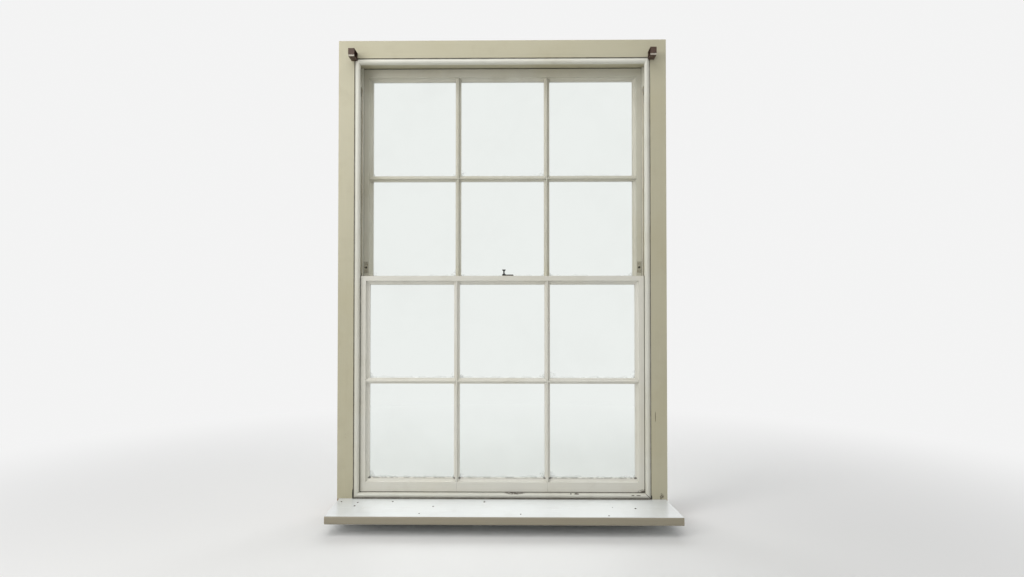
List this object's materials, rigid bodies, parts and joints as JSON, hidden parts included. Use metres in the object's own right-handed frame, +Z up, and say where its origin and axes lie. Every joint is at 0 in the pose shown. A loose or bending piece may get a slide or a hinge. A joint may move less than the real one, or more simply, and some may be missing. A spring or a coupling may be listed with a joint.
{
  "type": "timber double-hung sash window with cased frame",
  "caption": "Painted timber box-frame window with two vertically sliding sashes, glazing bars, sash cords, weights, pulleys, fastener and inner window board.",
  "frame": {"origin": "on the underside of the sill, midway along it, in the plane of the parting beads", "axes": "+Z up, +Y from the room to the outside, +X to the right seen from the room"},
  "size_m": [1.313, 0.448, 1.89],
  "materials": {
    "glass": "polished",
    "putty": "matte",
    "cord": "matte",
    "iron": "matte",
    "pulley": "satin",
    "fastener": "satin",
    "stop_plate": "satin",
    "screw": "satin",
    "bracket": "satin",
    "board_paint": "gloss",
    "bare_wood": "matte",
    "outer_paint": "satin",
    "sash_paint": "satin",
    "frame_paint": "satin"
  },
  "bodies": {
    "frame": {"back_lining_left": "bare_wood", "back_lining_right": "bare_wood", "blind_brackets": "bracket", "frame_screws": "screw", "head": "frame_paint", "inside_lining_head": "frame_paint", "inside_lining_left": "frame_paint", "inside_lining_right": "frame_paint", "lower_cords": "cord", "outside_lining_head": "outer_paint", "outside_lining_left": "outer_paint", "outside_lining_right": "outer_paint", "parting_bead_left": "frame_paint", "parting_bead_right": "frame_paint", "parting_slips": "bare_wood", "pocket_piece_left": "frame_paint", "pocket_piece_right": "frame_paint", "pulley_cases": "pulley", "pulley_stile_left": "frame_paint", "pulley_stile_right": "frame_paint", "sill": "outer_paint", "staff_bead_head": "frame_paint", "staff_bead_left": "frame_paint", "staff_bead_right": "frame_paint", "staff_bead_sill": "frame_paint", "upper_cords": "cord", "window_board": "board_paint"},
    "upper_sash": {"upper_bar_left": "sash_paint", "upper_bar_right": "sash_paint", "upper_cross_bars": "sash_paint", "upper_meeting_rail": "sash_paint", "upper_panes": "glass", "upper_putty": "putty", "upper_sash_screws": "screw", "upper_stile_left": "sash_paint", "upper_stile_right": "sash_paint", "upper_top_rail": "sash_paint", "sash_stops": "stop_plate", "fastener_keep": "fastener"},
    "lower_sash": {"lower_bar_left": "sash_paint", "lower_bar_right": "sash_paint", "lower_bottom_rail": "sash_paint", "lower_cross_bars": "sash_paint", "lower_meeting_rail": "sash_paint", "lower_panes": "glass", "lower_putty": "putty", "lower_sash_screws": "screw", "lower_stile_left": "sash_paint", "lower_stile_right": "sash_paint", "fastener_base": "fastener"},
    "fastener": {"fastener_arm": "fastener"},
    "lower_weight_left": {"lower_weight_left": "iron"},
    "lower_wheel_left": {"lower_pulley_wheel_left": "pulley"},
    "lower_weight_right": {"lower_weight_right": "iron"},
    "lower_wheel_right": {"lower_pulley_wheel_right": "pulley"},
    "upper_weight_left": {"upper_weight_left": "iron"},
    "upper_wheel_left": {"upper_pulley_wheel_left": "pulley"},
    "upper_weight_right": {"upper_weight_right": "iron"},
    "upper_wheel_right": {"upper_pulley_wheel_right": "pulley"}
  },
  "joints": [
    {"name": "lower_sash_slide", "type": "slide", "parent": "frame", "child": "lower_sash", "axis": [0, 0, 1], "range_m": [0, 0.76], "deforming": ["lower_cords"]},
    {"name": "upper_sash_slide", "type": "slide", "parent": "frame", "child": "upper_sash", "axis": [0, 0, -1], "range_m": [0, 0.76], "deforming": ["upper_cords"]},
    {"name": "fastener_turn", "type": "hinge", "parent": "lower_sash", "child": "fastener", "pos_m": [0.007, -0.017, 0.956], "axis": [0, 0, 1], "range_deg": [0, 90]},
    {"name": "lower_weight_left_slide", "type": "slide", "parent": "frame", "child": "lower_weight_left", "axis": [0, 0, -1], "range_m": [0, 0.76]},
    {"name": "lower_wheel_left_turn", "type": "hinge", "parent": "frame", "child": "lower_wheel_left", "pos_m": [-0.5925, -0.029, 1.7], "axis": [0, -1, 0], "range_deg": [0, 1585]},
    {"name": "lower_weight_right_slide", "type": "slide", "parent": "frame", "child": "lower_weight_right", "axis": [0, 0, -1], "range_m": [0, 0.76]},
    {"name": "lower_wheel_right_turn", "type": "hinge", "parent": "frame", "child": "lower_wheel_right", "pos_m": [0.5925, -0.029, 1.7], "axis": [0, 1, 0], "range_deg": [0, 1585]},
    {"name": "upper_weight_left_slide", "type": "slide", "parent": "frame", "child": "upper_weight_left", "axis": [0, 0, 1], "range_m": [0, 0.76]},
    {"name": "upper_wheel_left_turn", "type": "hinge", "parent": "frame", "child": "upper_wheel_left", "pos_m": [-0.5925, 0.029, 1.7], "axis": [0, 1, 0], "range_deg": [0, 1585]},
    {"name": "upper_weight_right_slide", "type": "slide", "parent": "frame", "child": "upper_weight_right", "axis": [0, 0, 1], "range_m": [0, 0.76]},
    {"name": "upper_wheel_right_turn", "type": "hinge", "parent": "frame", "child": "upper_wheel_right", "pos_m": [0.5925, 0.029, 1.7], "axis": [0, -1, 0], "range_deg": [0, 1585]}
  ],
  "couplings": [
    {"joint": "lower_weight_left_slide", "follows": "lower_sash_slide", "ratio": 1},
    {"joint": "lower_wheel_left_turn", "follows": "lower_sash_slide", "rad_per_m": 36.364},
    {"joint": "lower_weight_right_slide", "follows": "lower_sash_slide", "ratio": 1},
    {"joint": "lower_wheel_right_turn", "follows": "lower_sash_slide", "rad_per_m": 36.364},
    {"joint": "upper_weight_left_slide", "follows": "upper_sash_slide", "ratio": 1},
    {"joint": "upper_wheel_left_turn", "follows": "upper_sash_slide", "rad_per_m": 36.364},
    {"joint": "upper_weight_right_slide", "follows": "upper_sash_slide", "ratio": 1},
    {"joint": "upper_wheel_right_turn", "follows": "upper_sash_slide", "rad_per_m": 36.364}
  ]
}
